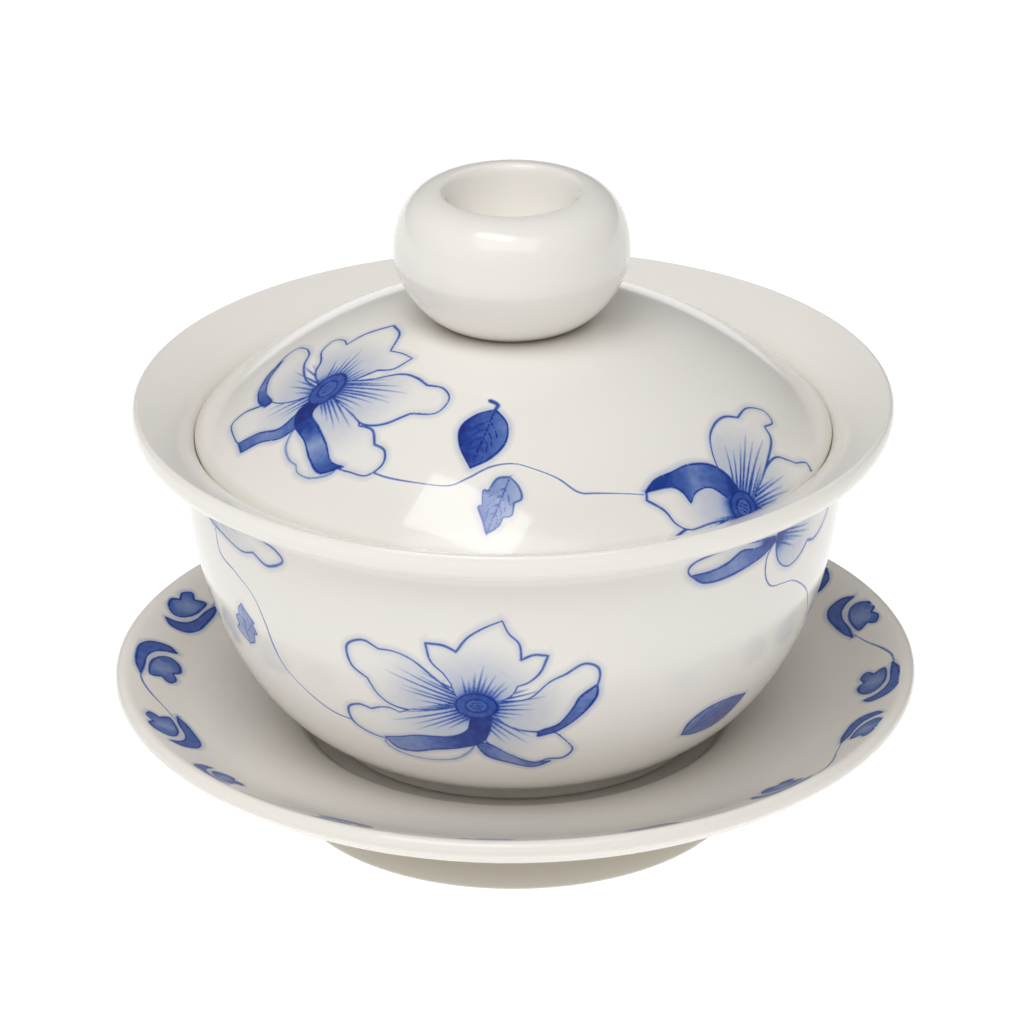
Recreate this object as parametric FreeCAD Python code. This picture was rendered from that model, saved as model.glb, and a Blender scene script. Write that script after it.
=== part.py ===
import FreeCAD, Part
import math
import os
from FreeCAD import Vector

# A gaiwan: saucer, lidded tea bowl and lid with a dished knob, all thrown round.
# Millimetres, +Z up, origin on the table at the centre of the saucer's foot ring.
# Every piece is a closed outline in the half plane (radius, height) turned about Z.

# Driving dimensions of the saucer
SAUCER_RIM_R = 53.5
SAUCER_RIM_Z = 18.9
SAUCER_FOOT_R = 30.4
SAUCER_FOOT_W = 2.8
SAUCER_FOOT_Z = 6.6
SAUCER_FOOT_LEAN = 1.2
SAUCER_FLOOR = 3.1
WELL_R = 27.5
WELL_Z = 10.7
WELL_EDGE_R = 29.5
WELL_EDGE_Z = 12.0

# Driving dimensions of the bowl
SEAT_GAP = 0.1
BOWL_BASE_Z = WELL_Z + SEAT_GAP
BOWL_FOOT_R = 25.5
BOWL_FOOT_W = 2.6
BOWL_FOOT_H = 1.8
BOWL_FOOT_LEAN = 0.2
BOWL_FOOT_RECESS = 1.4
BOWL_BELLY_R = 43.45
BOWL_NECK_Z = 50.0
BOWL_LIP_R = 49.4
BOWL_LIP_Z = 57.5
BOWL_LIP_THICK = 3.5
BOWL_INNER_R = 41.6
BOWL_INNER_Z = 51.0
BOWL_FLOOR_R = 20.0
BOWL_FLOOR_Z = 14.4

# Driving dimensions of the lid and its knob
LID_R = 42.0
LID_Z = 52.6
LID_TOP_Z = 69.1
LID_CROWN = 2.5
KNOB_BASE_R = 9.4
KNOB_R = 15.5
KNOB_WAIST_Z = 77.9
KNOB_CREST_R = 9.5
KNOB_CREST_Z = 86.6
KNOB_DISH_Z = 76.4

# Middle poles (radius, height) of the Bezier curves that give each wall its swell
SAUCER_UNDERSIDE = [(36.3, 8.2), (47.7, 11.8)]
SAUCER_SLOPE = [(46.0, 15.6), (38.0, 13.0)]
BOWL_OUTSIDE = [(35.6, 15.4), (BOWL_BELLY_R, 32.2)]
BOWL_FLARE = [(BOWL_BELLY_R, 52.0), (45.6, 52.7)]
BOWL_LID_SEAT = [(46.2, 56.4), (42.2, 55.0)]
BOWL_INSIDE = [(BOWL_INNER_R, 32.0), (35.0, 15.8)]
LID_DOME = [(18.0, LID_TOP_Z - 0.1), (30.7, 64.2)]
LID_UNDER_DOME = [(29.5, 62.2), (17.0, LID_TOP_Z - LID_CROWN)]
KNOB_CHEEK = [(13.4, 71.0), (KNOB_R, 76.0)]
KNOB_SHOULDER = [(KNOB_R, 83.4), (13.1, KNOB_CREST_Z)]
KNOB_DISH_WALL = [(7.3, KNOB_CREST_Z), (8.2, KNOB_DISH_Z)]

FOOT_ROUND = 0.5


def point(radius, height):
    """A point of an outline in the half plane that is turned about Z."""
    return Vector(radius, 0, height)


def line(start, end):
    return Part.makeLine(point(*start), point(*end))


def bend(*poles):
    """A Bezier curve through its first and last poles."""
    curve = Part.BezierCurve()
    curve.setPoles([point(*pole) for pole in poles])
    return curve.toShape()


def corner(centre, radius, start_deg, end_deg):
    """A round corner, as an arc of a circle in the half plane."""
    def on_circle(angle):
        turn = math.radians(angle)
        return point(centre[0] + radius * math.cos(turn), centre[1] + radius * math.sin(turn))
    middle_deg = (start_deg + end_deg) / 2
    return Part.Arc(on_circle(start_deg), on_circle(middle_deg), on_circle(end_deg)).toShape()


def turned(edges):
    """The solid that a closed outline sweeps in one full turn about Z."""
    face = Part.Face(Part.Wire(edges))
    solid = face.revolve(Vector(0, 0, 0), Vector(0, 0, 1), 360)
    if solid.Volume < 0:
        solid.reverse()
    return solid


def foot_edges(outer_r, width, base_z, wall_top, recess_z):
    """A foot ring from the axis outwards: recess ceiling, inner wall, ground face, outer wall."""
    inner_r = outer_r - width
    edge = FOOT_ROUND / 2
    return [
        line((0, recess_z), (inner_r - FOOT_ROUND, recess_z)),
        corner((inner_r - FOOT_ROUND, recess_z - FOOT_ROUND), FOOT_ROUND, 90, 0),
        line((inner_r, recess_z - FOOT_ROUND), (inner_r, base_z + edge)),
        corner((inner_r + edge, base_z + edge), edge, 180, 270),
        line((inner_r + edge, base_z), (outer_r - FOOT_ROUND, base_z)),
        corner((outer_r - FOOT_ROUND, base_z + FOOT_ROUND), FOOT_ROUND, -90, 0),
        line((outer_r, base_z + FOOT_ROUND), wall_top),
    ]


def make_saucer():
    """A shallow dish on a tall foot ring, with a sunken well that keeps the bowl centred."""
    root = (SAUCER_FOOT_R - SAUCER_FOOT_LEAN, SAUCER_FOOT_Z)
    lip_low = (SAUCER_RIM_R - 0.4, SAUCER_RIM_Z - 1.9)
    lip_out = [(SAUCER_RIM_R + 0.3, SAUCER_RIM_Z - 1.1), (SAUCER_RIM_R + 0.1, SAUCER_RIM_Z)]
    lip_top = (SAUCER_RIM_R - 0.9, SAUCER_RIM_Z)
    lip_in = (SAUCER_RIM_R - 1.9, SAUCER_RIM_Z - 0.3)
    well_edge = (WELL_EDGE_R, WELL_EDGE_Z)
    well = (WELL_R, WELL_Z)
    ceiling_z = WELL_Z - SAUCER_FLOOR
    edges = foot_edges(SAUCER_FOOT_R, SAUCER_FOOT_W, 0, root, ceiling_z)
    edges += [
        bend(root, *SAUCER_UNDERSIDE, lip_low),
        bend(lip_low, *lip_out, lip_top),
        bend(lip_top, (SAUCER_RIM_R - 1.3, SAUCER_RIM_Z), lip_in),
        bend(lip_in, *SAUCER_SLOPE, well_edge),
        bend(well_edge, (WELL_EDGE_R - 1, WELL_EDGE_Z - 0.2), (WELL_R + 0.5, WELL_Z), well),
        line(well, (0, WELL_Z)),
        line((0, WELL_Z), (0, ceiling_z)),
    ]
    return turned(edges)


def make_bowl():
    """A deep round bowl with a low foot ring and a flared lip that the lid sits inside."""
    root = (BOWL_FOOT_R - BOWL_FOOT_LEAN, BOWL_BASE_Z + BOWL_FOOT_H)
    neck = (BOWL_BELLY_R, BOWL_NECK_Z)
    lip_low = (BOWL_LIP_R - 0.4, BOWL_LIP_Z - BOWL_LIP_THICK)
    lip_out = [(BOWL_LIP_R + 0.9, BOWL_LIP_Z - 2.7), (BOWL_LIP_R + 1.1, BOWL_LIP_Z - 0.1)]
    lip_top = (BOWL_LIP_R, BOWL_LIP_Z)
    shelf = (BOWL_INNER_R, BOWL_INNER_Z)
    floor = (BOWL_FLOOR_R, BOWL_FLOOR_Z)
    recess_z = BOWL_BASE_Z + BOWL_FOOT_RECESS
    edges = foot_edges(BOWL_FOOT_R, BOWL_FOOT_W, BOWL_BASE_Z, root, recess_z)
    edges += [
        bend(root, *BOWL_OUTSIDE, neck),
        bend(neck, *BOWL_FLARE, lip_low),
        bend(lip_low, *lip_out, lip_top),
        bend(lip_top, *BOWL_LID_SEAT, shelf),
        bend(shelf, *BOWL_INSIDE, floor),
        line(floor, (0, BOWL_FLOOR_Z)),
        line((0, BOWL_FLOOR_Z), (0, recess_z)),
    ]
    return turned(edges)


def make_lid():
    """A domed lid with a rounded rim and a small flat on top where the knob is joined."""
    rim_under = (LID_R - 0.5, LID_Z - 0.6)
    rim_out = [(LID_R + 0.1, LID_Z + 0.2), (LID_R + 0.1, LID_Z - 0.3)]
    rim_over = (LID_R - 0.3, LID_Z + 0.6)
    dome_foot = (LID_R - 2.2, LID_Z - 0.5)
    flat_edge = (KNOB_BASE_R, LID_TOP_Z)
    crown_z = LID_TOP_Z - LID_CROWN
    edges = [
        line((0, crown_z), (0, LID_TOP_Z)),
        line((0, LID_TOP_Z), flat_edge),
        bend(flat_edge, *LID_DOME, rim_over),
        bend(rim_over, *rim_out, rim_under),
        bend(rim_under, (LID_R - 1.1, LID_Z - 0.9), dome_foot),
        bend(dome_foot, *LID_UNDER_DOME, (0, crown_z)),
    ]
    return turned(edges)


def make_lid_knob():
    """A squat ring-shaped knob with a deep dish in its top, luted onto the lid's flat."""
    base = (KNOB_BASE_R, LID_TOP_Z)
    waist = (KNOB_R, KNOB_WAIST_Z)
    crest = (KNOB_CREST_R, KNOB_CREST_Z)
    edges = [
        line((0, LID_TOP_Z), base),
        bend(base, *KNOB_CHEEK, waist),
        bend(waist, *KNOB_SHOULDER, crest),
        bend(crest, *KNOB_DISH_WALL, (0, KNOB_DISH_Z)),
        line((0, KNOB_DISH_Z), (0, LID_TOP_Z)),
    ]
    return turned(edges)


MAKERS = {"saucer": make_saucer, "bowl": make_bowl, "lid": make_lid, "lid_knob": make_lid_knob}

os.makedirs("parts", exist_ok=True)
for node, make in MAKERS.items():
    shape = make()
    shape.exportStep("parts/" + node + ".step")
    print(node, "valid", shape.isValid(), "volume cm3", round(shape.Volume / 1000, 2))
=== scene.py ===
import math

import bpy
import numpy as np
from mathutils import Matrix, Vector
from mathutils.geometry import delaunay_2d_cdt


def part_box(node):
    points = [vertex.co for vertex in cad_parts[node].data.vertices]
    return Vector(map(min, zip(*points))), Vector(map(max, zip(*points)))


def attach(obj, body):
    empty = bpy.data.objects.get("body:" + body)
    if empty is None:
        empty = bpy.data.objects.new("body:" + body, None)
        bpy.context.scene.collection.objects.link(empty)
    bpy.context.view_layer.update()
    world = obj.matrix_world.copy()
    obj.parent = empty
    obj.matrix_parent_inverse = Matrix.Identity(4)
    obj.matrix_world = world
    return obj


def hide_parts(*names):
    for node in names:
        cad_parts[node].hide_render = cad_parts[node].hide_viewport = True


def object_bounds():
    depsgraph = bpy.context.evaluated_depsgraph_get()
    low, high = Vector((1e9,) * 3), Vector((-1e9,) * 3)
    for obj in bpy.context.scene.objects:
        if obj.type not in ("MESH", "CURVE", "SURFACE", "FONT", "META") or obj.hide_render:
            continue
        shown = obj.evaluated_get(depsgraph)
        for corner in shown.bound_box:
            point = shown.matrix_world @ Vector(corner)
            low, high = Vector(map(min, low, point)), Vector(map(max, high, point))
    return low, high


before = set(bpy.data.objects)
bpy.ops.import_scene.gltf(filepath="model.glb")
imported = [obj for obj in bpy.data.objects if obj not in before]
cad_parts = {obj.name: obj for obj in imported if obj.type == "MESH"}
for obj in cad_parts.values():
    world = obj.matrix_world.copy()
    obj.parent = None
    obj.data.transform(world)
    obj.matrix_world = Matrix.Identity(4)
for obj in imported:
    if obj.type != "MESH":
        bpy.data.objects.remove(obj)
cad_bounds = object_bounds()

# Lengths are millimetres until a mesh is made, and MM turns them into metres.
MM = 0.001
SEGMENTS = 288          # steps round each piece
OUTLINE_STEP = 1.3      # longest step along an outline
OUTLINE_TURN = 6.0      # most degrees an outline turns in one step
ROUGH_STEPS = 40        # steps for a first measure of a curve
NORMAL_STEPS = 16       # finer steps within each step of a curve, for its normals
BAND_STEPS = 240        # steps along each curve of a painted band

# ------------------------------------------------------------------ outlines
# Each outline runs from the axis under a piece, out and up, and back to the axis on top.
# It is a list of Bezier curves given by their poles (radius, height); two poles are a line.

FOOT_ROUND = 0.5
WELL_Z = 10.7
BOWL_BASE_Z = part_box("bowl")[0].z / MM
LID_TOP_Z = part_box("lid")[1].z / MM
KNOB_CREST_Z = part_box("lid_knob")[1].z / MM


def corner(before, at, after):
    """A small round corner that leaves `before` towards `at` and arrives at `after`."""
    return [before, at, after]


def foot(outer_r, width, base_z, wall, recess_z):
    """A foot ring: recess ceiling, inner wall, ground face and outer wall up to `wall`."""
    inner_r = outer_r - width
    edge = FOOT_ROUND / 2
    return [
        [(0, recess_z), (inner_r - FOOT_ROUND, recess_z)],
        corner((inner_r - FOOT_ROUND, recess_z), (inner_r, recess_z), (inner_r, recess_z - FOOT_ROUND)),
        [(inner_r, recess_z - FOOT_ROUND), (inner_r, base_z + edge)],
        corner((inner_r, base_z + edge), (inner_r, base_z), (inner_r + edge, base_z)),
        [(inner_r + edge, base_z), (outer_r - FOOT_ROUND, base_z)],
        corner((outer_r - FOOT_ROUND, base_z), (outer_r, base_z), (outer_r, base_z + FOOT_ROUND)),
        [(outer_r, base_z + FOOT_ROUND), wall],
    ]


def chain(start, *stretches):
    """Curves joined end to end: each stretch lists the poles of one curve after its first."""
    curves = []
    for stretch in stretches:
        curves.append([start, *stretch])
        start = stretch[-1]
    return curves


SAUCER_ROOT = (29.2, 6.6)
BOWL_ROOT = (25.3, BOWL_BASE_Z + 1.8)
KNOB_SEAT = (9.4, LID_TOP_Z)

SAUCER = foot(outer_r=30.4, width=2.8, base_z=0.0, wall=SAUCER_ROOT, recess_z=7.6) + chain(
    SAUCER_ROOT,
    [(36.3, 8.2), (47.7, 11.8), (53.1, 17.0)],
    [(53.8, 17.8), (53.6, 18.9), (52.6, 18.9)],
    [(52.2, 18.9), (51.6, 18.6)],
    [(46.0, 15.6), (38.0, 13.0), (29.5, 12.0)],
    [(28.5, 11.8), (28.0, WELL_Z), (27.5, WELL_Z)],
    [(0, WELL_Z)],
)
BOWL = foot(outer_r=25.5, width=2.6, base_z=BOWL_BASE_Z, wall=BOWL_ROOT, recess_z=BOWL_BASE_Z + 1.4) + chain(
    BOWL_ROOT,
    [(35.6, 15.4), (43.45, 32.2), (43.45, 50.0)],
    [(43.45, 52.0), (45.6, 52.7), (49.0, 54.0)],
    [(50.3, 54.8), (50.5, 57.4), (49.4, 57.5)],
    [(46.2, 56.4), (42.2, 55.0), (41.6, 51.0)],
    [(41.6, 32.0), (35.0, 15.8), (20.0, 14.4)],
    [(0, 14.4)],
)
LID = chain(
    (0, 66.6),
    [(17.0, 66.6), (29.5, 62.2), (39.8, 52.1)],
    [(40.9, 51.7), (41.5, 52.0)],
    [(42.1, 52.3), (42.1, 52.8), (41.7, 53.2)],
    [(30.7, 64.2), (18.0, LID_TOP_Z - 0.1), KNOB_SEAT],
    [(0, LID_TOP_Z)],
)
KNOB = chain(
    (0, LID_TOP_Z),
    [KNOB_SEAT],
    [(13.4, 71.0), (15.5, 76.0), (15.5, 77.9)],
    [(15.5, 83.4), (13.1, KNOB_CREST_Z), (9.5, KNOB_CREST_Z)],
    [(7.3, KNOB_CREST_Z), (8.2, 76.4), (0, 76.4)],
)

# The curves of each outline that are painted, by number.
SAUCER_SLOPE = (10,)
BOWL_WALL = (7, 8)
LID_DOME = (3,)


def bezier(poles, steps):
    """Points of a Bezier curve, as an array of steps + 1 rows."""
    share = np.linspace(0, 1, steps + 1)[:, None]
    rows = [np.array(pole, float)[None, :] + 0 * share for pole in poles]
    while len(rows) > 1:
        rows = [a * (1 - share) + b * share for a, b in zip(rows, rows[1:])]
    return rows[0]


def steps_of(poles):
    """How many steps a curve needs for its length and for how far it turns."""
    rough = np.diff(bezier(poles, ROUGH_STEPS), axis=0)
    length = np.hypot(rough[:, 0], rough[:, 1]).sum()
    heading = np.unwrap(np.arctan2(rough[:, 1], rough[:, 0]))
    turn = np.degrees(np.abs(np.diff(heading)).sum())
    return max(1, math.ceil(length / OUTLINE_STEP), math.ceil(turn / OUTLINE_TURN))


def outward(points):
    """Unit normals on the outer side of a run of outline points."""
    slope = np.gradient(points, axis=0)
    slope /= np.hypot(slope[:, 0], slope[:, 1])[:, None]
    return np.stack([slope[:, 1], -slope[:, 0]], axis=1)


class Run:
    """One curve of an outline, as points with their outward normals."""

    def __init__(self, poles):
        dense = bezier(poles, steps_of(poles) * NORMAL_STEPS)
        self.points = dense[::NORMAL_STEPS]
        self.normals = outward(dense)[::NORMAL_STEPS]


# ------------------------------------------------------------------ painted bands
# A painted band is a ring-shaped stretch of a piece's surface. Its flat chart is a plane
# with the band's own axis in the middle: chart radius = inner + distance along the outline.

class Band:
    def __init__(self, outline, stretch, inner, flip=False):
        """stretch numbers the outline's curves that the band covers, inner is the chart radius
        where it starts, and flip says that the outline is followed from its far end."""
        self.stretch, self.inner, self.flip = stretch, inner, flip
        runs = [bezier(outline[number], BAND_STEPS) for number in stretch]
        points = np.concatenate([runs[0]] + [r[1:] for r in runs[1:]])
        normals = outward(points)
        if flip:
            points, normals = points[::-1], normals[::-1]
        gaps = np.hypot(*np.diff(points, axis=0).T)
        self.along = np.concatenate([[0], np.cumsum(gaps)])
        self.points, self.normals = points, normals
        self.length = self.along[-1]

    def radius(self, along):
        return np.interp(along, self.along, self.points[:, 0])

    def lift(self, chart):
        """Surface points and normals, in the row frame, of chart points."""
        along = np.hypot(chart[:, 0], chart[:, 1]) - self.inner
        angle = np.arctan2(chart[:, 1], chart[:, 0])
        columns = []
        for table in (self.points, self.normals):
            out = np.interp(along, self.along, table[:, 0])
            up = np.interp(along, self.along, table[:, 1])
            columns.append(np.stack([out * np.cos(angle), out * np.sin(angle), up], axis=1))
        columns[1] /= np.linalg.norm(columns[1], axis=1)[:, None]
        return columns


def spun(points, angle):
    """Points turned about the origin of their plane."""
    c, s = math.cos(angle), math.sin(angle)
    return points @ np.array([[c, s], [-s, c]])


class Spot:
    """A place on a band where a motif is painted, in its own millimetres: x to the right and
    y up the outline, seen from outside. `azimuth` is in degrees about +Z, and `turn` turns
    the motif in its place. A wrapped spot keeps true widths on a surface like a wall, and a
    flat one keeps true shapes on a surface like a dome."""

    def __init__(self, band, azimuth, along, turn=0.0, wrapped=True, grow=1.0):
        self.band, self.along, self.wrapped, self.grow = band, along, wrapped, grow
        self.azimuth, self.turn = math.radians(azimuth), math.radians(turn)

    def to_chart(self, points):
        points = spun(np.asarray(points, float) * self.grow, self.turn)
        if self.wrapped:
            along = self.along + points[:, 1]
            angle = self.azimuth + points[:, 0] / self.band.radius(along)
            out = self.band.inner + along
            return np.stack([out * np.cos(angle), out * np.sin(angle)], axis=1)
        out = np.array([[self.band.inner + self.along, 0.0]])
        return spun(out, self.azimuth) + points

    def to_local(self, chart):
        if self.wrapped:
            along = np.hypot(chart[:, 0], chart[:, 1]) - self.band.inner
            angle = np.arctan2(chart[:, 1], chart[:, 0]) - self.azimuth
            angle = (angle + math.pi) % (2 * math.pi) - math.pi
            points = np.stack([angle * self.band.radius(along), along - self.along], axis=1)
        else:
            out = np.array([[self.band.inner + self.along, 0.0]])
            points = chart - spun(out, self.azimuth)
        return spun(points, -self.turn) / self.grow


CORNER_PULL = 0.9       # how far a path runs straight out of a sharp corner, as a share of the chord


def smooth(points, step, closed=False):
    """A smooth path through given points. A point with a third value is a sharp corner."""
    place = np.array([p[:2] for p in points], float)
    sharp = [len(p) > 2 for p in points]
    count = len(place)
    spans = count if closed else count - 1
    path = []
    for i in range(spans):
        a, b = place[i], place[(i + 1) % count]
        chord = b - a
        before = place[i - 1] if (closed or i > 0) else a
        after = place[(i + 2) % count] if (closed or i + 2 < count) else b
        first, last = not closed and i == 0, not closed and i == spans - 1
        leave = chord * CORNER_PULL if sharp[i] or first else (b - before) / 2
        reach = chord * CORNER_PULL if sharp[(i + 1) % count] or last else (after - a) / 2
        steps = max(2, math.ceil(math.hypot(*chord) / step))
        t = np.linspace(0, 1, steps + 1)[:-1, None]
        path.append(
            (2 * t**3 - 3 * t**2 + 1) * a + (t**3 - 2 * t**2 + t) * leave
            + (3 * t**2 - 2 * t**3) * b + (t**3 - t**2) * reach
        )
    if not closed:
        path.append(place[-1:])
    return np.concatenate(path)


class Painting:
    """Brushwork on one band: washes and lines, kept in the order they are laid down. The
    mesh of the band gets points along every brush line, and the ink is worked out at each."""

    LIMIT = 0.15    # how near the band's ends paint may come
    APART = 0.07    # points nearer together than this are one
    SPACING = 0.7   # between the points that fill a wash
    KEY = 1000003   # more than the cells of APART across any band, so each cell has its own key

    def __init__(self, band):
        self.band = band
        self.strokes, self.firm, self.soft = [], [], []

    def wash(self, spot, outline, tone):
        """An area of even or graded colour; tone gives the ink at the motif's own points."""
        self.strokes.append((spot, np.asarray(outline, float), None, tone))
        low, high = outline.min(axis=0), outline.max(axis=0)
        columns = np.arange(low[0], high[0], self.SPACING)
        lines = np.arange(low[1], high[1], self.SPACING)
        grid = np.stack(np.meshgrid(columns, lines), axis=-1).reshape(-1, 2)
        grid[:, 0] += (np.arange(len(grid)) // len(columns) % 2) * self.SPACING / 2
        self.soft.append(spot.to_chart(grid[within(grid, outline)]))

    def line(self, spot, path, width, ink):
        """A brush line, darkest along its middle. width and ink are numbers, or one per point."""
        path = np.asarray(path, float)
        half = np.broadcast_to(np.asarray(width, float) / 2, len(path))
        ink = np.broadcast_to(np.asarray(ink, float), len(path))
        self.strokes.append((spot, path, half, ink))
        along = np.gradient(path, axis=0)
        along /= np.maximum(np.hypot(along[:, 0], along[:, 1]), 1e-9)[:, None]
        side = np.stack([-along[:, 1], along[:, 0]], axis=1) * half[:, None]
        self.firm.append(spot.to_chart(path))
        self.soft.append(spot.to_chart(np.concatenate([path - side, path + side])))

    def mesh_points(self):
        """Chart points that follow the brushwork, none nearer to another than APART."""
        chart = np.concatenate(self.firm + self.soft)
        out = np.hypot(chart[:, 0], chart[:, 1])
        low, high = self.band.inner + self.LIMIT, self.band.inner + self.band.length - self.LIMIT
        chart = chart[(out > low) & (out < high)]
        cells = np.floor(chart / self.APART).astype(np.int64)
        _, first = np.unique(cells[:, 0] * self.KEY + cells[:, 1], return_index=True)
        return chart[np.sort(first)]

    def ink(self, chart):
        """The ink at chart points: later strokes lie over earlier ones."""
        ink = np.zeros(len(chart))
        for spot, path, half, look in self.strokes:
            margin = 0.0 if half is None else float(half.max())
            local = spot.to_local(chart)
            low, high = path.min(axis=0) - margin, path.max(axis=0) + margin
            near = np.flatnonzero(((local >= low) & (local <= high)).all(axis=1))
            local = local[near]
            if half is None:
                inside = within(local, path)
                ink[near[inside]] = look(local[inside])
                continue
            start, chord = path[:-1], np.diff(path, axis=0)
            gap = local[:, None, :] - start[None]
            share = (gap * chord).sum(-1) / np.maximum((chord**2).sum(-1), 1e-12)
            share = np.clip(share, 0, 1)
            away = np.linalg.norm(gap - chord * share[..., None], axis=-1)
            half_here = half[:-1] * (1 - share) + half[1:] * share
            depth_here = look[:-1] * (1 - share) + look[1:] * share
            weight = np.clip(1 - away / np.maximum(half_here, 1e-6), 0, 1)
            ink[near] = np.maximum(ink[near], (depth_here * weight).max(axis=1))
        return ink


def within(points, outline):
    """Which points lie inside a closed outline."""
    inside = np.zeros(len(points), bool)
    for a, b in zip(outline, np.roll(outline, -1, axis=0)):
        if a[1] == b[1]:
            continue
        spans = (a[1] > points[:, 1]) != (b[1] > points[:, 1])
        cross = a[0] + (points[:, 1] - a[1]) * (b[0] - a[0]) / (b[1] - a[1])
        inside ^= spans & (points[:, 0] < cross)
    return inside


# ------------------------------------------------------------------ turned pieces

STEPS_ROUND = np.arange(SEGMENTS) * (2 * math.pi / SEGMENTS)
SPOKES = np.stack([np.cos(STEPS_ROUND), np.sin(STEPS_ROUND)], axis=1)
SAME_POINT = 1e-5       # points nearer than this are one in a triangulation


class Turned:
    """A mesh turned from an outline, with an optional painting on one stretch of it."""

    def __init__(self, pools):
        self.verts, self.faces, self.normals, self.ink = [], [], [], []
        self.count = 0
        self.pools = pools

    def painted_shade_at(self, places):
        """Painted shade, 0 to 1: darkest at each shade spot (radius, height, reach, amount) and fading away
        from it.
        """
        out = np.hypot(places[:, 0], places[:, 1])
        shading = np.zeros(len(places))
        for radius, height, reach, amount in self.pools:
            away = np.hypot(out - radius, places[:, 2] - height)
            shading = np.maximum(shading, amount * np.exp(-(away / reach) ** 2))
        return shading

    def ring(self, radius, height):
        """Adds a ring of points and returns their numbers; a ring of no radius is one point."""
        first = self.count
        if radius < 1e-6:
            self.verts.append(np.array([[0, 0, height]]))
            self.ink.append(np.zeros(1))
            self.count += 1
            return np.full(SEGMENTS, first)
        self.verts.append(np.column_stack([radius * SPOKES, np.full(SEGMENTS, height)]))
        self.ink.append(np.zeros(SEGMENTS))
        self.count += SEGMENTS
        return np.arange(first, self.count)

    def strip(self, low, high, low_normal, high_normal):
        """Quads, or triangles at the axis, between two rings, with each corner's normal."""
        low_n = np.column_stack([SPOKES * low_normal[0], np.full(SEGMENTS, low_normal[1])])
        high_n = np.column_stack([SPOKES * high_normal[0], np.full(SEGMENTS, high_normal[1])])
        for j in range(SEGMENTS):
            k = (j + 1) % SEGMENTS
            loop = [(low[j], low_n[j]), (low[k], low_n[k]), (high[k], high_n[k]), (high[j], high_n[j])]
            seen, face = set(), []
            for vertex, normal in loop:
                if vertex not in seen:
                    seen.add(vertex)
                    face.append((vertex, normal))
            self.faces.append([int(v) for v, n in face])
            self.normals += [n for v, n in face]

    def painted(self, painting, rows, inner_ring, outer_ring):
        """The painted stretch: one triangulation of its grid and its brushwork's points."""
        band = painting.band
        grid = np.concatenate([SPOKES * (band.inner + row) for row in rows])
        points = np.concatenate([grid, painting.mesh_points()])
        last = (len(rows) - 1) * SEGMENTS
        vectors = [Vector(p) for p in points.tolist()]
        flat, _, tris, came_from, _, _ = delaunay_2d_cdt(vectors, [], [], 0, SAME_POINT, True)
        chart = np.array([tuple(v) for v in flat])
        tris = np.array([list(t) for t in tris], int)
        middle = chart[tris].mean(axis=1)
        tris = tris[np.hypot(middle[:, 0], middle[:, 1]) > band.inner * math.cos(math.pi / SEGMENTS)]
        places, normals = band.lift(chart)
        numbers = np.full(len(chart), -1)
        for i, ids in enumerate(came_from):
            for source in ids:
                if source < SEGMENTS:
                    numbers[i] = inner_ring[source]
                elif last <= source < last + SEGMENTS:
                    numbers[i] = outer_ring[source - last]
        fresh = np.flatnonzero(numbers < 0)
        numbers[fresh] = self.count + np.arange(len(fresh))
        self.verts.append(places[fresh])
        self.ink.append(painting.ink(chart[fresh]))
        self.count += len(fresh)
        corners = places[tris]
        facing = np.cross(corners[:, 1] - corners[:, 0], corners[:, 2] - corners[:, 0])
        if (facing * normals[tris[:, 0]]).sum() < 0:
            tris = tris[:, ::-1]
        self.faces += numbers[tris].tolist()
        self.normals += list(normals[tris].reshape(-1, 3))

    def mesh(self, name):
        data = bpy.data.meshes.new(name)
        places = np.concatenate(self.verts) * MM
        data.from_pydata(places.tolist(), [], self.faces)
        data.polygons.foreach_set("use_smooth", [True] * len(data.polygons))
        # Each point carries its cobalt and its painted shade, which darkens creases, the feet and the
        # saucer's underside.
        layers = {"cobalt": np.concatenate(self.ink), "painted_shade": self.painted_shade_at(places / MM)}
        for layer_name, values in layers.items():
            layer = data.attributes.new(layer_name, "FLOAT", "POINT")
            layer.data.foreach_set("value", values.astype(np.float32))
        data.normals_split_custom_set([tuple(n) for n in self.normals])
        data.update()
        piece = bpy.data.objects.new(name, data)
        bpy.context.scene.collection.objects.link(piece)
        return piece


def turn(name, outline, pools=(), painting=None):
    """Turns an outline into a piece, with its painting on the curves that its band covers."""
    work = Turned(pools)
    runs = [Run(poles) for poles in outline]
    stretch = painting.band.stretch if painting else ()
    ring = work.ring(*runs[0].points[0])
    for number, run in enumerate(runs):
        if number not in stretch:
            for i in range(1, len(run.points)):
                new = work.ring(*run.points[i])
                work.strip(ring, new, run.normals[i - 1], run.normals[i])
                ring = new
            continue
        if number == min(stretch):
            rows = [0.0]
        for i in range(1, len(run.points)):
            rows.append(rows[-1] + math.hypot(*(run.points[i] - run.points[i - 1])))
        if number == max(stretch):
            end = work.ring(*run.points[-1])
            length = painting.band.length
            rows = [row * length / rows[-1] for row in rows]
            if painting.band.flip:
                work.painted(painting, [length - row for row in rows[::-1]], end, ring)
            else:
                work.painted(painting, rows, ring, end)
            ring = end
    return work.mesh(name)


# ------------------------------------------------------------------ brush motifs
# Motifs are drawn in their own millimetres, with a flower's seed head at (0, 0). A third
# number marks a point as a sharp corner.

LEAF = [
    (0.00, 0.00, 1), (0.16, -0.62), (0.42, -1.00), (0.72, -0.72), (1.00, 0.00, 1), (0.78, 0.62),
    (0.48, 0.96), (0.18, 0.70),
]
RAGGED_LEAF = [
    (0.00, 0.00, 1), (0.10, -0.55), (0.34, -0.72, 1), (0.36, -0.98), (0.60, -0.72, 1), (0.64, -0.90),
    (0.82, -0.40), (1.00, 0.00, 1), (0.84, 0.42), (0.66, 0.50, 1), (0.58, 0.85), (0.38, 0.72, 1),
    (0.26, 0.98), (0.10, 0.60),
]

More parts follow.
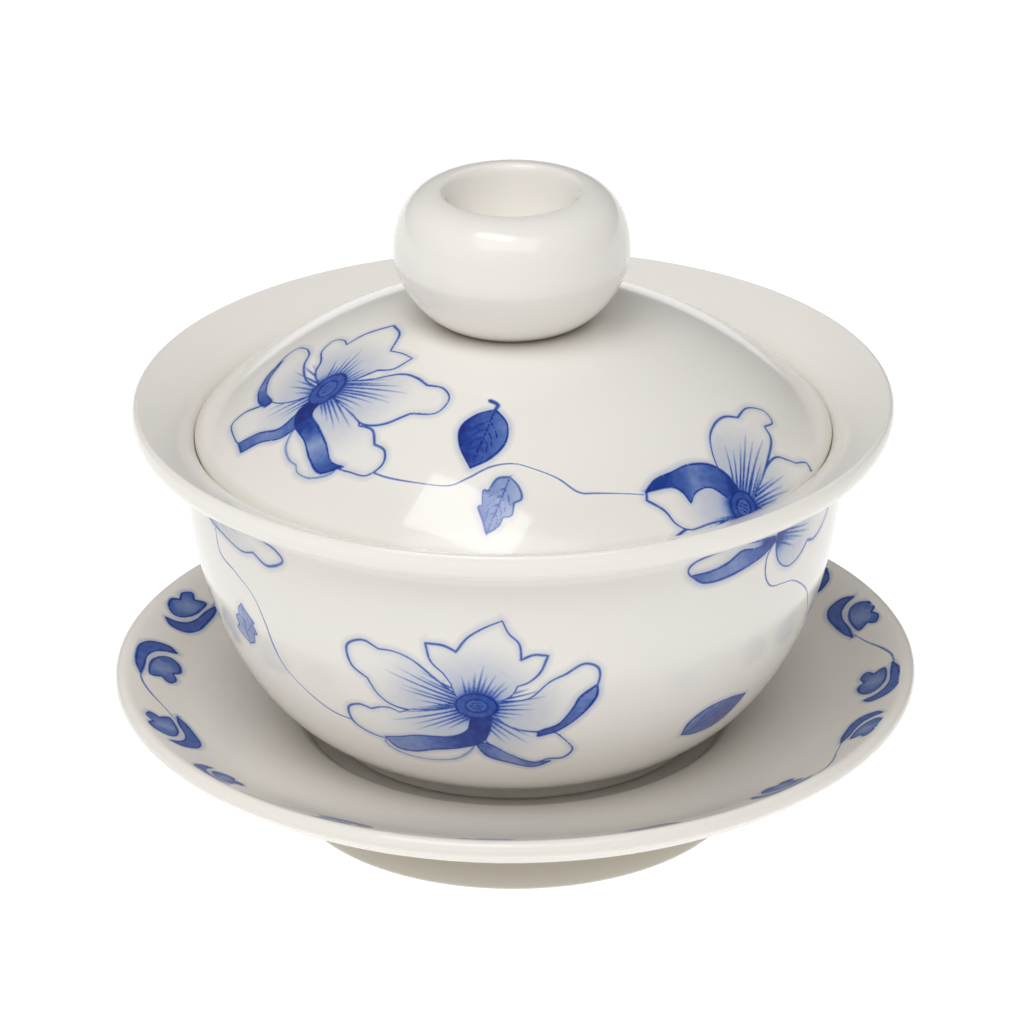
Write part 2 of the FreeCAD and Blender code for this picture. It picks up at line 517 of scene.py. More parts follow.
# Widths are in a motif's own millimetres, and ink runs from 0, bare, to 1, the deepest blue.
FINE = 0.36             # step along outlines, veins and stems
COARSE = 0.6            # step along the ribs of leaves
OUTLINE_WIDTH = 0.54
OUTLINE_INK = 0.78
HALO_WIDTH = 2.2        # the bleed of colour round an outline
HALO_INK = 0.09
FOLD_INK = 0.92
RING_INK = 0.70         # the two washes of a seed head
CORE_INK = 0.60
VEIN_START = 1.3        # how far beside the root the outermost veins begin
VEIN_FROM = 0.27        # veins aim at this share of the way round a petal's edge,
VEIN_SPREAD = 0.46      # and at the next part of it, this long


def drawn(painting, spot, outline, tone, ink=OUTLINE_INK, width=OUTLINE_WIDTH, halo=HALO_INK):
    """A closed shape: a wash, a faint bleed of colour round it, and a brushed outline."""
    edge = smooth(outline, FINE, closed=True)
    painting.wash(spot, edge, tone)
    ring = np.concatenate([edge, edge[:1]])
    if halo:
        soft = smooth(outline, FINE * 2, closed=True)
        painting.line(spot, np.concatenate([soft, soft[:1]]), HALO_WIDTH, halo)
    swell = 0.85 + 0.25 * np.sin(np.linspace(0, 5 * math.pi, len(ring)) + len(ring))
    painting.line(spot, ring, width * swell, ink)


def petal(painting, spot, outline, root=(0.0, 0.0), lines=8, reach=0.62, depth=1.0):
    """One petal, from an outline that leaves the seed head and comes back to it. It is tinted
    at its root, outlined and veined."""
    root = np.array(root, float)
    edge = smooth(outline, FINE, closed=True)
    far = np.linalg.norm(edge - root, axis=1).max()

    def shade(points):
        away = np.linalg.norm(points - root, axis=-1)
        near = 0.72 * np.exp(-np.maximum(away - 2.2, 0) / 0.8)
        glow = 0.12 * np.exp(-((away / (0.62 * far)) ** 4))
        return np.clip(depth * (near + glow), 0.012, 0.92)

    drawn(painting, spot, outline, shade, ink=OUTLINE_INK * (0.45 + 0.55 * depth))
    veins(painting, spot, edge, root, lines, reach, depth)


def veins(painting, spot, edge, root, lines, reach, depth):
    """Fine lines that leave a petal's root, fan out towards its edge and fade on the way."""
    walked = np.concatenate([[0], np.cumsum(np.linalg.norm(np.diff(edge, axis=0), axis=1))])

    def on_edge(share):
        return np.array([np.interp(share * walked[-1], walked, edge[:, i]) for i in (0, 1)])

    heading = edge.mean(axis=0) - root
    heading /= np.linalg.norm(heading)
    side = np.array([-heading[1], heading[0]])
    hand = 1 if on_edge(0.25) @ side > on_edge(0.75) @ side else -1
    for k in range(lines):
        across = k / max(lines - 1, 1)
        aim = on_edge(VEIN_FROM + VEIN_SPREAD * across)
        start = root + VEIN_START * (1 - 2 * across) * side * hand
        end = reach * (0.92 + 0.08 * math.cos(2.4 * k))
        length = np.linalg.norm(aim - start)
        steps = math.ceil(end * length / FINE)
        t = np.linspace(0.06, end, steps + 1)[:, None]
        bow = start + 0.30 * length * heading + 0.20 * (aim - start)
        path = (1 - t) ** 2 * start + 2 * t * (1 - t) * bow + t * t * aim
        fade = 1 - np.linspace(0, 1, len(path)) ** 1.8
        painting.line(spot, path, 0.34 + 0.20 * fade, depth * (0.06 + 0.86 * fade))


def fold(painting, spot, outline, start, end, tones):
    """The turned-over edge of a petal: full colour that changes from `start` to `end`."""
    start, chord = np.array(start, float), np.array(end, float) - np.array(start, float)
    marks = np.linspace(0, 1, len(tones))

    def shade(points):
        share = ((points - start) @ chord) / (chord @ chord)
        return np.interp(share, marks, tones)

    drawn(painting, spot, outline, shade, ink=FOLD_INK, width=0.55, halo=0.14)


def even(ink):
    """The tone of a wash with the same ink all over."""
    return lambda points: np.full(len(points), ink)


def disc(painting, spot, wide, tall, lean=0.0):
    """The seed head in the middle of a flower: two rings and a dotted core."""
    angle = np.linspace(0, 2 * math.pi, 37)
    path = np.stack([wide * np.cos(angle), tall * np.sin(angle)], axis=1)
    path = spun(path, math.radians(lean))
    painting.wash(spot, path[:-1], even(RING_INK))
    painting.line(spot, path, 1.0, 1.0)
    painting.wash(spot, path[:-1] * 0.52, even(CORE_INK))
    painting.line(spot, path * 0.55, 0.75, 1.0)
    for step in range(7):
        middle = path[step * 6] * 0.24 * (step > 0)
        painting.line(spot, middle + np.array([[-0.16, -0.05], [0.16, 0.05]]), 0.40, 1.0)


def leaf(painting, spot, shape, angle, length, half, bend=0.0, at=(0.0, 0.0), depth=0.75, ribs=4):
    """A leaf along an axis, darker along one side, with a midrib and side ribs. The shape
    runs from 0 to 1 along the axis and from -1 to 1 across it."""
    turned = math.radians(angle)
    ahead = np.array([math.cos(turned), math.sin(turned)])
    left = np.array([-ahead[1], ahead[0]])
    at = np.array(at, float)

    def place(points):
        return [(*(at + ahead * t * length + left * (w * half + bend * t * t)), *sharp)
                for t, w, *sharp in points]

    def shade(points):
        gap = points - at
        t = gap @ ahead / length
        w = (gap @ left - bend * t * t) / half
        return np.clip(depth * (0.80 - 0.22 * w + 0.25 * (t - 0.5)), 0.05, 1.0)

    strong = min(1.0, depth + 0.25)
    drawn(painting, spot, place(shape), shade, ink=strong, width=0.5, halo=0.14 * depth)
    painting.line(spot, smooth(place([(0.0, 0.0), (0.5, 0.05), (0.97, 0.0)]), COARSE), 0.42, strong)
    for k in range(1, ribs + 1):
        root = 0.72 * k / (ribs + 1) + 0.06
        for side in (-1, 1):
            rib = [(root, 0.0), (root + 0.10, side * 0.30), (root + 0.22, side * (0.62 - 0.08 * k))]
            painting.line(spot, smooth(place(rib), COARSE), 0.32, strong * 0.9)


def vine(painting, spot, points, width=0.40, ink=0.60):
    """A thin stem through given points, swelling and thinning along its length."""
    path = smooth(points, FINE)
    swell = 0.85 + 0.25 * np.sin(np.arange(len(path)) * 0.15)
    painting.line(spot, path, width * swell, ink * (0.85 + 0.15 * swell))


def hook_leaf(painting, spot):
    """A scroll for the saucer: a crescent and a comma with a white hook left between them,
    both palest in the middle of the comma."""
    middle = np.array([1.0, -0.8])
    crescent = [(5.4, 2.4, 1), (3.0, 3.2), (0.0, 3.5), (-3.2, 3.4), (-5.6, 2.0), (-6.2, -0.6),
                (-5.0, -2.2, 1), (-4.4, -0.4), (-3.0, 1.1), (-0.6, 1.9), (2.4, 2.0)]
    comma = [(4.4, 0.8), (2.2, 1.1), (-0.4, 0.8), (-2.5, -0.4), (-2.9, -1.8), (-1.6, -3.2), (0.4, -3.6),
             (1.6, -2.6, 1), (3.4, -3.2), (4.9, -2.2), (3.6, -1.0, 1)]

    def shade(points):
        return np.clip(0.36 + 0.075 * np.linalg.norm(points - middle, axis=-1), 0.34, 0.66)

    for outline in (crescent, comma):
        drawn(painting, spot, outline, shade, ink=0.95, width=0.7, halo=0.16)


# ------------------------------------------------------------------ paintings

def open_flower(painting, spot):
    """The full flower seen from the front, with a three-pointed petal at its head."""
    petal(painting, spot, [(-12.5, -8.5), (-11.5, -11.0), (-7.5, -12.0), (-3.0, -10.8), (-0.8, -7.0),
                           (-6.0, -6.0)], root=(-1.0, -5.0), lines=0, depth=0.22)
    petal(painting, spot, [(1.0, -1.5), (4.5, -3.4), (8.0, -5.0), (9.8, -5.1), (11.1, -6.8, 1),
                           (11.9, -8.8), (10.6, -10.6), (8.6, -10.7, 1), (6.4, -11.4), (3.4, -9.2),
                           (1.0, -6.8), (0.0, -3.0)], root=(0.2, -1.0), lines=7, reach=0.64)
    fold(painting, spot, [(-0.6, -7.0, 1), (0.8, -9.8), (3.6, -11.4), (6.4, -12.6), (8.8, -11.3, 1),
                          (6.3, -11.3), (3.6, -9.3), (1.2, -7.2)], (0, -7), (8.6, -11), (0.62, 0.40, 0.60))
    petal(painting, spot, [(1.8, 0.8), (6.5, 1.3), (9.4, 4.0), (11.6, 5.2, 1), (14.0, 6.6), (15.9, 5.6),
                           (15.6, 2.8), (13.0, -1.0), (10.6, -3.6), (7.4, -4.7), (4.0, -3.6), (2.0, -1.0)],
          lines=8, reach=0.60)
    fold(painting, spot, [(15.7, 3.0, 1), (15.4, 0.8), (13.2, -2.2), (10.4, -4.6), (7.6, -5.6, 1),
                          (8.0, -4.6), (10.4, -3.4), (12.4, -0.6), (13.4, 1.2)],
         (15, 2), (8, -5), (0.44, 0.58, 0.76))
    petal(painting, spot, [(-2.0, 1.0), (-5.2, 4.2), (-8.0, 6.7), (-10.5, 7.7), (-12.7, 7.7, 1),
                           (-15.0, 8.6), (-17.3, 7.2), (-16.8, 4.2), (-14.6, 2.5, 1), (-13.0, -0.2),
                           (-10.5, -1.7), (-6.0, -1.8), (-2.0, -0.6)], lines=8, reach=0.70)
    petal(painting, spot, [(-2.0, 1.0), (-3.2, 3.6), (-4.1, 5.2, 1), (-5.7, 7.0), (-6.3, 9.7, 1), (-4.0, 9.6),
                           (-2.3, 8.8, 1), (-0.8, 11.0), (1.4, 12.6), (3.7, 13.7, 1), (4.5, 11.8),
                           (5.8, 10.2), (6.0, 7.8, 1), (7.6, 8.5), (9.4, 8.3, 1), (8.4, 5.8), (6.9, 4.2),
                           (5.4, 3.5, 1), (4.4, 1.8), (2.2, 0.8)], lines=9, reach=0.55)
    petal(painting, spot, [(-1.5, -0.2), (-6.0, -1.3), (-8.6, -1.7), (-10.3, -2.6, 1), (-11.6, -2.1),
                           (-13.0, -2.3), (-14.4, -3.0, 1), (-16.2, -2.7), (-17.9, -3.9), (-17.4, -6.6),
                           (-15.0, -8.2), (-12.2, -8.6), (-8.6, -8.0), (-4.6, -7.4), (-0.6, -4.0)],
          lines=8, reach=0.68)
    fold(painting, spot, [(-0.6, -1.8), (-1.4, -4.6), (-3.8, -6.2), (-8.0, -6.7), (-10.4, -7.5),
                          (-12.8, -8.3, 1), (-11.2, -10.3), (-8.8, -10.4), (-6.0, -9.3), (-2.6, -8.4),
                          (0.6, -6.6), (1.7, -2.2)], (0, -3), (-12.5, -9), (0.92, 0.76, 0.46, 0.42))
    disc(painting, spot, 2.65, 2.1)


def side_flower(painting, spot):
    """A flower turned to one side, with ribbons of petal hanging from it."""
    petal(painting, spot, [(-3.0, -3.5), (-5.2, -5.3), (-6.5, -7.6), (-6.2, -10.2), (-5.2, -11.9, 1),
                           (-5.0, -13.4), (-3.2, -15.2), (-0.2, -15.8), (1.0, -14.0), (-0.5, -8.0)],
          root=(-2.0, -2.0), lines=0, depth=0.25)
    petal(painting, spot, [(-2.0, 0.6), (-5.0, 1.7), (-7.0, 2.9, 1), (-10.0, 4.0), (-12.8, 5.1), (-14.9, 4.3),
                           (-14.6, 1.0), (-13.6, -1.5), (-10.6, -2.6), (-7.0, -3.8), (-2.5, -3.0)],
          lines=7, reach=0.66)
    petal(painting, spot, [(-1.6, 1.4), (-3.1, 4.4), (-3.4, 8.4), (-2.7, 11.0), (-3.0, 13.2, 1),
                           (-4.6, 15.3), (-7.0, 14.0), (-8.9, 10.0), (-9.2, 6.2), (-8.2, 3.2), (-5.6, 1.0),
                           (-2.0, 0.2)], lines=7, reach=0.64)
    fold(painting, spot, [(-6.8, 13.6, 1), (-8.8, 11.8), (-10.4, 8.6), (-10.4, 5.4), (-9.4, 3.2, 1),
                          (-8.4, 3.6), (-9.2, 6.6), (-8.8, 10.2)], (-7, 13), (-9, 3), (0.44, 0.48, 0.80))
    petal(painting, spot, [(-1.2, 2.4), (-1.7, 5.0), (-0.9, 7.4), (-0.8, 10.2), (0.8, 12.0), (2.3, 11.0),
                           (2.8, 9.3, 1), (5.4, 10.6), (9.2, 11.0, 1), (10.0, 8.0), (8.8, 4.1, 1),
                           (10.4, 2.8), (11.7, 1.2, 1), (9.2, -0.3), (7.0, 0.3, 1), (3.6, -0.2), (1.0, 0.4)],
          lines=9, reach=0.60)
    petal(painting, spot, [(0.6, -1.4), (2.6, -4.4), (4.0, -7.2), (4.2, -9.5, 1), (6.0, -11.0),
                           (6.2, -13.5, 1), (7.5, -15.0), (7.1, -17.1), (4.8, -18.1), (2.6, -16.8),
                           (0.4, -14.8), (-1.6, -10.0), (-2.4, -4.0)], lines=8, reach=0.56)
    petal(painting, spot, [(1.8, 0.0), (6.5, -1.3), (10.2, -1.8), (12.2, -3.2), (13.6, -5.1, 1), (15.7, -6.2),
                           (16.4, -8.4), (14.6, -10.5), (11.2, -9.8, 1), (7.6, -10.5), (4.8, -9.5),
                           (3.2, -6.8), (1.0, -2.4)], lines=9, reach=0.70)
    fold(painting, spot, [(-4.0, -2.2), (-7.3, -3.5), (-10.6, -1.9), (-13.9, -1.2, 1), (-13.5, -3.5, 1),
                          (-10.4, -4.0), (-7.2, -5.5), (-4.0, -4.6)],
         (-4, -3.5), (-13.8, -2), (0.62, 0.44, 0.60))
    fold(painting, spot, [(-1.6, -0.8), (-4.4, -2.0), (-4.9, -4.8), (-3.7, -8.4), (-3.1, -12.0),
                          (-1.8, -15.0), (1.6, -15.5, 1), (-0.1, -13.8), (-0.6, -10.6), (-1.6, -6.8),
                          (-2.4, -3.8), (-0.6, -1.8)],
         (-2, -1), (-0.5, -15.5), (1.0, 0.92, 0.72, 0.34, 0.52, 0.80))
    disc(painting, spot, 2.9, 2.2, lean=38.0)


def cup_flower(painting, spot):
    """A half-open flower whose petals stand up round a dark seed head."""
    petal(painting, spot, [(1.0, 1.4), (2.2, 5.4), (3.0, 9.0), (4.4, 11.8), (6.2, 12.7), (7.6, 13.2, 1),
                           (9.6, 14.8), (10.6, 12.0), (8.5, 7.0), (4.0, 2.0)], lines=8, reach=0.66)
    petal(painting, spot, [(-0.6, -1.4), (-4.2, -3.6), (-6.0, -5.5, 1), (-8.4, -7.0), (-10.0, -9.6),
                           (-6.0, -9.0), (-1.5, -4.0)], lines=6, reach=0.80)
    petal(painting, spot, [(-13.8, -2.4), (-14.2, -4.4, 1), (-11.6, -5.2), (-9.8, -6.6), (-7.6, -6.7),
                           (-4.8, -4.7), (-0.8, -1.8), (-0.6, 0.6), (-5.0, 1.5), (-9.0, 0.2)],
          lines=7, reach=0.60)
    petal(painting, spot, [(-1.2, 1.6), (-4.4, 4.6), (-5.7, 8.6), (-5.2, 11.8), (-3.8, 14.2), (-1.8, 15.4, 1),
                           (-0.4, 18.5), (2.2, 20.0), (3.6, 18.6), (2.4, 16.6, 1), (3.5, 14.6), (3.1, 10.2),
                           (2.2, 5.4), (1.0, 1.4)], lines=9, reach=0.74)
    fold(painting, spot, [(-0.4, 1.6), (-2.6, 3.8), (-5.4, 4.4), (-8.5, 3.1), (-10.9, 1.0), (-13.2, -1.0),
                          (-14.4, -3.2, 1), (-11.0, -1.4), (-9.2, -1.6), (-7.9, -2.8, 1), (-7.2, -0.8),
                          (-5.0, 0.8), (-1.0, 0.0)], (0, 1), (-14, -3), (0.95, 0.66, 0.46, 0.78, 0.90))
    disc(painting, spot, 2.0, 2.5)


def both_sides(azimuth):
    """The bowl's far side repeats its near side."""
    return azimuth, azimuth + 180.0


def paint_bowl(band):
    painting = Painting(band)
    for azimuth in both_sides(-97.0):
        spot = Spot(band, azimuth, 25.8)
        vine(painting, spot, [(-42.3, 16.0), (-41.2, 12.8), (-37.2, 11.4), (-33.6, 9.4), (-31.5, 6.0),
                              (-30.2, 2.5), (-28.4, -0.6), (-25.0, -3.4), (-20.8, -5.8), (-17.2, -6.4)])
        open_flower(painting, spot)
        leaf(painting, spot, LEAF, 21, 12.2, 2.8, bend=-1.0, at=(27.4, -11.0), depth=0.84)
        leaf(painting, spot, RAGGED_LEAF, 96, 6.6, 2.6, at=(-36.0, 0.2), depth=0.45, ribs=2)
    for azimuth in both_sides(-43.0):
        spot = Spot(band, azimuth, 47.0)
        vine(painting, spot, [(2.1, -4.3), (0.9, -5.9), (0.9, -8.4), (2.3, -10.4), (5.1, -11.1), (7.9, -11.9),
                              (12.2, -15.0), (14.6, -18.2), (16.0, -21.4), (17.4, -29.0)])
        petal(painting, spot, [(3.0, -3.8), (3.0, -6.2), (4.2, -8.0), (6.2, -8.9), (8.6, -8.4),
                               (10.6, -7.0, 1), (12.6, -7.6), (15.0, -7.0), (17.6, -5.2), (16.5, -2.5),
                               (11.0, -1.0), (5.0, -1.6)],
              root=(2.4, -2.6), lines=9, reach=0.72)
        petal(painting, spot, [(2.6, -3.4), (-1.3, -2.7), (-4.0, -2.2), (-7.6, -2.0), (-11.4, -2.5),
                               (-12.5, -3.8), (-10.4, -5.4), (-7.0, -5.8), (-2.5, -5.4), (1.6, -4.6)],
              root=(2.6, -3.8), lines=0)
        fold(painting, spot, [(2.6, -3.6, 1), (-1.0, -3.7), (-3.8, -3.2), (-6.2, -4.1), (-9.0, -4.5),
                              (-12.2, -4.3, 1), (-10.2, -5.8), (-7.0, -6.1), (-3.0, -5.7), (0.6, -5.0)],
             (2.6, -4), (-12, -5), (0.90, 0.62, 0.40, 0.45, 0.66))
    for azimuth in both_sides(-150.0):
        spot = Spot(band, azimuth, 47.5)
        petal(painting, spot, [(-6.0, -2.6), (-4.0, -4.8), (0.0, -5.6), (4.5, -6.3), (7.2, -5.6, 1),
                               (10.0, -6.5), (12.9, -5.0), (11.6, -3.7), (8.6, -3.1), (4.0, -2.4),
                               (-1.0, -1.6)],
              root=(-6.4, -2.6), lines=5, reach=0.6, depth=0.8)
        petal(painting, spot, [(-6.0, -2.4), (-9.0, -4.6), (-13.0, -5.6), (-17.0, -4.6), (-15.0, -2.2),
                               (-10.0, -1.4)], root=(-6.4, -2.6), lines=5, reach=0.6, depth=0.8)
    return painting


def paint_lid(band):
    painting = Painting(band)
    left = Spot(band, -152.5, 18.5, wrapped=False)
    right = Spot(band, -44.0, 35.6, wrapped=False)
    front = Spot(band, -92.0, 22.0, wrapped=False)
    vine(painting, front, [(-19.0, 1.4), (-16.0, -0.8), (-12.0, -2.6), (-7.8, -3.8), (-5.0, -3.0),
                           (-2.0, -1.6), (1.0, -1.2), (3.6, -1.9), (7.0, -3.2),
                           (9.8, -4.9), (12.4, -4.7), (18.6, -3.6)])
    side_flower(painting, left)
    cup_flower(painting, right)
    vine(painting, front, [(-1.3, 7.4), (-0.9, 8.4), (-1.9, 9.2)], width=0.9, ink=0.9)
    leaf(painting, front, LEAF, 248, 9.8, 3.3, bend=0.2, at=(-1.2, 7.6), depth=0.88)
    leaf(painting, front, RAGGED_LEAF, 247, 8.6, 2.7, at=(0.6, -3.2), depth=0.45)
    back = Spot(band, 92.0, 31.0, 180.0, wrapped=False, grow=0.72)
    vine(painting, back, [(-34.0, -6.0), (-26.0, -2.0), (-17.0, -6.5)], width=0.55)
    open_flower(painting, back)
    return painting


PAIR_APART = 24.0       # degrees between the two scrolls of a pair

# The pairs of scrolls round the saucer: azimuth, distance along the slope, and size.
SCROLL_PAIRS = (
    (-5.5, 20.1, 0.84), (36.0, 20.0, 0.84), (84.0, 20.0, 0.84), (133.0, 19.6, 0.84),
    (176.0, 19.4, 0.90), (-141.0, 21.0, 0.66), (-94.0, 21.2, 0.62), (-46.0, 20.7, 0.74),
)


def paint_saucer(band):
    painting = Painting(band)
    for azimuth, along, grow in SCROLL_PAIRS:
        link = Spot(band, azimuth + PAIR_APART / 2, along)
        vine(painting, link, [(-5.8, 2.2), (-3.4, 1.9), (-0.4, 0.8), (2.6, -0.6), (5.8, -1.6)], width=0.5)
        hook_leaf(painting, Spot(band, azimuth, along, grow=grow))
        hook_leaf(painting, Spot(band, azimuth + PAIR_APART, along, 180.0, grow=grow))
    return painting


# ------------------------------------------------------------------ materials

PORCELAIN = (0.890, 0.858, 0.806)
PAINTED_SHADE_TINT = (0.53, 0.500, 0.415)     # painted shade multiplies the colour under it by this, towards dark olive
COBALT = [
    (0.00, PORCELAIN), (0.10, (0.600, 0.625, 0.690)), (0.30, (0.310, 0.390, 0.620)),
    (0.55, (0.082, 0.155, 0.460)), (0.80, (0.010, 0.048, 0.310)), (1.00, (0.002, 0.015, 0.180)),
]
COOL_BODY = (0.975, 0.978, 0.985)      # the body drifts a little between these two
WARM_BODY = (1.000, 0.995, 0.985)
INK_LEAST, INK_MORE = 0.75, 0.50       # the cobalt's load: at its thinnest, and what noise adds
GLOSS = {
    "Roughness": 0.16, "IOR": 1.5, "Specular IOR Level": 0.25,
    "Coat Weight": 0.35, "Coat Roughness": 0.03, "Coat IOR": 1.5,
    "Subsurface Weight": 0.12, "Subsurface Radius": (0.0012, 0.0010, 0.0008), "Subsurface Scale": 1.0,
}


def glaze(name):
    """White porcelain under a clear gloss glaze. The "cobalt" attribute is how much blue lies
    under the glaze, a little uneven as brushed cobalt is, and the second attribute is painted
    shade, which darkens the colour towards olive in creases, round the feet and under the saucer."""
    material = bpy.data.materials.new(name)
    material.use_nodes = True
    nodes, links = material.node_tree.nodes, material.node_tree.links
    shader = nodes["Principled BSDF"]
    where = nodes.new("ShaderNodeTexCoord")

    def noise(scale, detail):
        made = nodes.new("ShaderNodeTexNoise")
        made.inputs["Scale"].default_value = scale
        made.inputs["Detail"].default_value = detail
        links.new(where.outputs["Object"], made.inputs["Vector"])
        return made.outputs["Fac"]

    def maths(kind, a, b):
        made = nodes.new("ShaderNodeMath")
        made.operation = kind
        for socket, value in zip(made.inputs, (a, b)):
            if isinstance(value, (int, float)):
                socket.default_value = value
            else:
                links.new(value, socket)
        return made.outputs[0]

    def attribute(called):
        made = nodes.new("ShaderNodeAttribute")
        made.attribute_name = called
        return made.outputs["Fac"]

    def multiply(colour):
        made = nodes.new("ShaderNodeMix")
        made.data_type = "RGBA"
        made.blend_type = "MULTIPLY"
        links.new(colour, made.inputs["A"])
        return made

    load = maths("ADD", maths("MULTIPLY", noise(scale=900, detail=3), INK_MORE), INK_LEAST)
    ramp = nodes.new("ShaderNodeValToRGB")
    elements = ramp.color_ramp.elements
    while len(elements) < len(COBALT):
        elements.new(0.5)
    for element, (place, colour) in zip(elements, COBALT):
        element.position = place
        element.color = (*colour, 1)
    links.new(maths("MULTIPLY", attribute("cobalt"), load), ramp.inputs["Fac"])

    tint = nodes.new("ShaderNodeValToRGB")
    tint.color_ramp.elements[0].color = (*COOL_BODY, 1)
    tint.color_ramp.elements[1].color = (*WARM_BODY, 1)
    links.new(noise(scale=45, detail=2), tint.inputs["Fac"])
    body = multiply(ramp.outputs["Color"])
    body.inputs["Factor"].default_value = 1.0
    links.new(tint.outputs["Color"], body.inputs["B"])

    # Painted shade: the colour is multiplied towards dark olive as far as the painted shade attribute says.
    shading = multiply(body.outputs["Result"])
    shading.inputs["B"].default_value = (*PAINTED_SHADE_TINT, 1)
    links.new(attribute("painted_shade"), shading.inputs["Factor"])
    links.new(shading.outputs["Result"], shader.inputs["Base Color"])

    bump = nodes.new("ShaderNodeBump")
    bump.inputs["Strength"].default_value = 0.06
    bump.inputs["Distance"].default_value = 0.0004
    links.new(noise(scale=160, detail=2), bump.inputs["Height"])
    links.new(bump.outputs["Normal"], shader.inputs["Coat Normal"])
    for socket, value in GLOSS.items():
        shader.inputs[socket].default_value = value
    return material


# ------------------------------------------------------------------ pieces

def add_piece(name, node, body, slot, outline, **painted):
    piece = turn(name, outline, **painted)
    piece.data.materials.append(glaze(slot))
    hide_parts(node)
    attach(piece, body)
    return piece


saucer_band = Band(SAUCER, SAUCER_SLOPE, inner=29.5, flip=True)
bowl_band = Band(BOWL, BOWL_WALL, inner=12.0)
lid_band = Band(LID, LID_DOME, inner=9.4, flip=True)

# Painted shade on each piece, in creases, round the feet and under the saucer: (radius, height, reach,
# amount).
SAUCER_SHADE_SPOTS = [(28.6, 4.0, 5.0, 1.0), (27.5, WELL_Z, 2.4, 0.3),
                (37.0, 4.5, 4.0, 1.2), (43.5, 7.0, 4.2, 1.2), (50.0, 11.0, 4.6, 1.3), (52.5, 13.0, 3.4, 1.1)]
BOWL_SHADE_SPOTS = [(25.0, 12.0, 2.6, 0.3)]
LID_SHADE_SPOTS = [(9.4, LID_TOP_Z, 1.6, 0.35), (41.7, 52.7, 0.8, 0.45)]
KNOB_SHADE_SPOTS = [(9.4, LID_TOP_Z, 2.0, 0.35)]

add_piece("saucer_body", "saucer", "saucer", "saucer_glaze", SAUCER,
          pools=SAUCER_SHADE_SPOTS, painting=paint_saucer(saucer_band))
add_piece("bowl_body", "bowl", "bowl", "bowl_glaze", BOWL,
          pools=BOWL_SHADE_SPOTS, painting=paint_bowl(bowl_band))
add_piece("lid_body", "lid", "lid", "lid_glaze", LID,
          pools=LID_SHADE_SPOTS, painting=paint_lid(lid_band))
add_piece("lid_knob_body", "lid_knob", "lid", "knob_glaze", KNOB, pools=KNOB_SHADE_SPOTS)


# ------------------------------------------------------------------ floor, light and camera

# The stage is laid out in metres.
FLOOR_HALF = 3.0
FLOOR_GREYS = (0.34, 0.37)
FLOOR_GLOW = 0.88       # the floor is a light table, so the object throws no hard shadow on it
SKY_FROM = Vector((-0.36, -0.30, 0.88))     # the bright side of the studio
SKY_DIM, SKY_BRIGHT, SKY_POWER = 0.12, 0.42, 1.5
LIGHT_AIM = Vector((0, 0, 0.045))

# Each softbox: name, place, width, depth and watts.
SOFTBOXES = [
    ("overhead_softbox", (-0.17, -0.24, 0.92), 0.46, 0.24, 1.9),
    ("front_softbox", (-0.10, -0.92, 1.35), 1.60, 0.90, 10.4),
]

# The view looks along +Y from a little above the rim, through a long lens.
VIEW_AIM = Vector((-0.25, 0, 40.5)) * MM
VIEW_DISTANCE = 850 * MM
VIEW_ELEVATION, VIEW_ROLL = math.radians(24.95), math.radians(-0.445)
SENSOR_WIDTH, LENS = 36.0, 225.35


def add_floor():
    data = bpy.data.meshes.new("floor")
    corners = [(x * FLOOR_HALF, y * FLOOR_HALF, 0) for x, y in ((-1, -1), (1, -1), (1, 1), (-1, 1))]
    data.from_pydata(corners, [], [(0, 1, 2, 3)])
    floor = bpy.data.objects.new("floor", data)
    floor.location.z = cad_bounds[0].z - 0.02 * MM
    bpy.context.scene.collection.objects.link(floor)
    material = bpy.data.materials.new("floor_paper")
    material.use_nodes = True
    nodes, links = material.node_tree.nodes, material.node_tree.links
    grain = nodes.new("ShaderNodeTexNoise")
    grain.inputs["Scale"].default_value = 30
    ramp = nodes.new("ShaderNodeValToRGB")
    for element, grey in zip(ramp.color_ramp.elements, FLOOR_GREYS):
        element.color = (grey, grey, grey, 1)
    links.new(grain.outputs["Fac"], ramp.inputs["Fac"])
    shader = nodes["Principled BSDF"]
    links.new(ramp.outputs["Color"], shader.inputs["Base Color"])
    shader.inputs["Roughness"].default_value = 0.9
    shader.inputs["Specular IOR Level"].default_value = 0.1
    shader.inputs["Emission Color"].default_value = (1, 1, 1, 1)
    shader.inputs["Emission Strength"].default_value = FLOOR_GLOW
    data.materials.append(material)


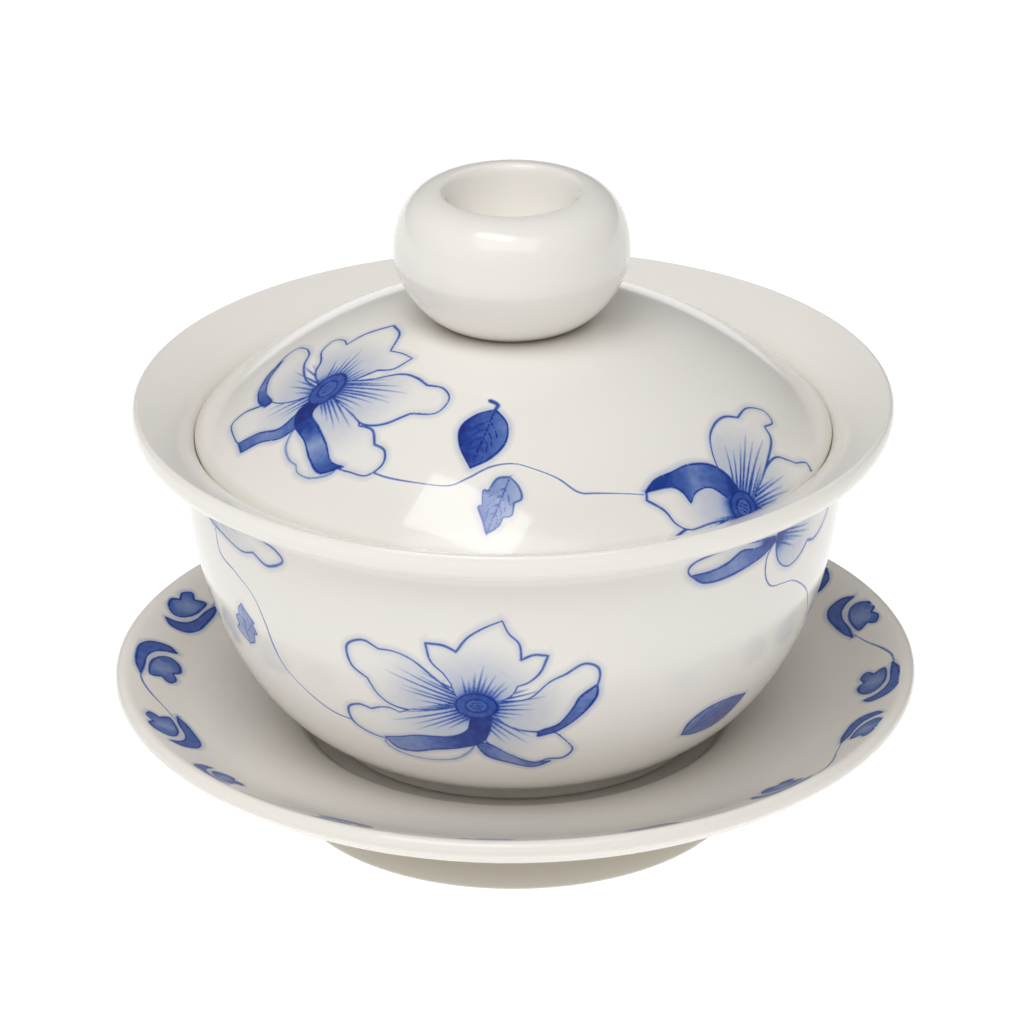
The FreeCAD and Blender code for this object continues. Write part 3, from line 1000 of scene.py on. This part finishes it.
def add_softbox(name, place, width, depth, watts):
    """A rectangular softbox that faces the object."""
    lamp = bpy.data.lights.new(name, "AREA")
    lamp.shape = "RECTANGLE"
    lamp.size, lamp.size_y = width, depth
    lamp.energy = watts
    holder = bpy.data.objects.new(name, lamp)
    holder.location = place
    holder.rotation_euler = (LIGHT_AIM - Vector(place)).to_track_quat("-Z", "Y").to_euler()
    bpy.context.scene.collection.objects.link(holder)


def add_sky():
    """A soft white studio, brighter on one side than on the other."""
    world = bpy.data.worlds.new("studio")
    world.use_nodes = True
    nodes, links = world.node_tree.nodes, world.node_tree.links
    where = nodes.new("ShaderNodeTexCoord")
    facing = nodes.new("ShaderNodeVectorMath")
    facing.operation = "DOT_PRODUCT"
    facing.inputs[1].default_value = SKY_FROM.normalized()
    links.new(where.outputs["Generated"], facing.inputs[0])
    front = nodes.new("ShaderNodeMath")
    front.operation = "MULTIPLY_ADD"
    front.inputs[1].default_value = 0.5
    front.inputs[2].default_value = 0.5
    links.new(facing.outputs["Value"], front.inputs[0])
    lobe = nodes.new("ShaderNodeMath")
    lobe.operation = "POWER"
    lobe.inputs[1].default_value = SKY_POWER
    links.new(front.outputs["Value"], lobe.inputs[0])
    level = nodes.new("ShaderNodeMath")
    level.operation = "MULTIPLY_ADD"
    level.inputs[1].default_value = SKY_BRIGHT - SKY_DIM
    level.inputs[2].default_value = SKY_DIM
    links.new(lobe.outputs["Value"], level.inputs[0])
    links.new(level.outputs["Value"], nodes["Background"].inputs["Strength"])
    nodes["Background"].inputs["Color"].default_value = (1.0, 1.0, 1.0, 1)
    bpy.context.scene.world = world


def add_camera():
    data = bpy.data.cameras.new("camera")
    data.sensor_width, data.lens = SENSOR_WIDTH, LENS
    data.clip_start, data.clip_end = 0.05, 20
    camera = bpy.data.objects.new("camera", data)
    backwards = Vector((0, -math.cos(VIEW_ELEVATION), math.sin(VIEW_ELEVATION)))
    camera.location = VIEW_AIM + VIEW_DISTANCE * backwards
    facing = (VIEW_AIM - camera.location).to_track_quat("-Z", "Y")
    camera.rotation_euler = facing.to_euler()
    camera.rotation_euler.rotate_axis("Z", VIEW_ROLL)
    bpy.context.scene.collection.objects.link(camera)
    bpy.context.scene.camera = camera


add_floor()
add_sky()
for softbox in SOFTBOXES:
    add_softbox(*softbox)
add_camera()
bpy.context.scene.view_settings.view_transform = "Standard"
